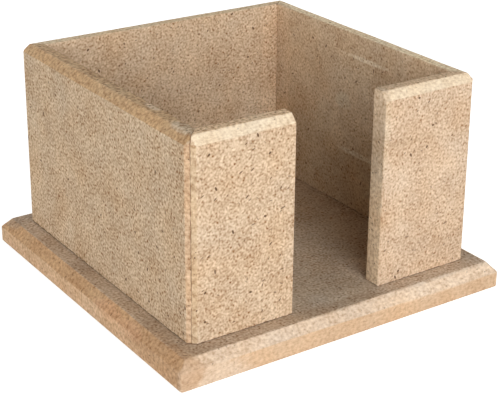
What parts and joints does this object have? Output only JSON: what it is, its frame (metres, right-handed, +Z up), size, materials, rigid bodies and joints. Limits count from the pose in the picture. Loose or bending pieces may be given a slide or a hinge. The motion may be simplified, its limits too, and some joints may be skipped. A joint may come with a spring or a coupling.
{
  "type": "pen and note holder",
  "caption": "Square open-topped desk holder of raw fibreboard for pens and note sheets, with bevelled mitred walls, a finger gap in the front and a wider bevelled base board.",
  "frame": {"origin": "centre of the base board's flat underside", "axes": "+X to the right along the front, +Y from the front with the finger gap towards the back, +Z up"},
  "size_m": [0.1384, 0.1384, 0.083],
  "materials": {
    "raw_fibreboard": "raw medium-density fibreboard, sanded and unpainted"
  },
  "bodies": {
    "root": {"base_board": "raw_fibreboard", "left_wall": "raw_fibreboard", "right_wall": "raw_fibreboard", "back_wall": "raw_fibreboard", "front_left_panel": "raw_fibreboard", "front_right_panel": "raw_fibreboard"}
  },
  "joints": []
}
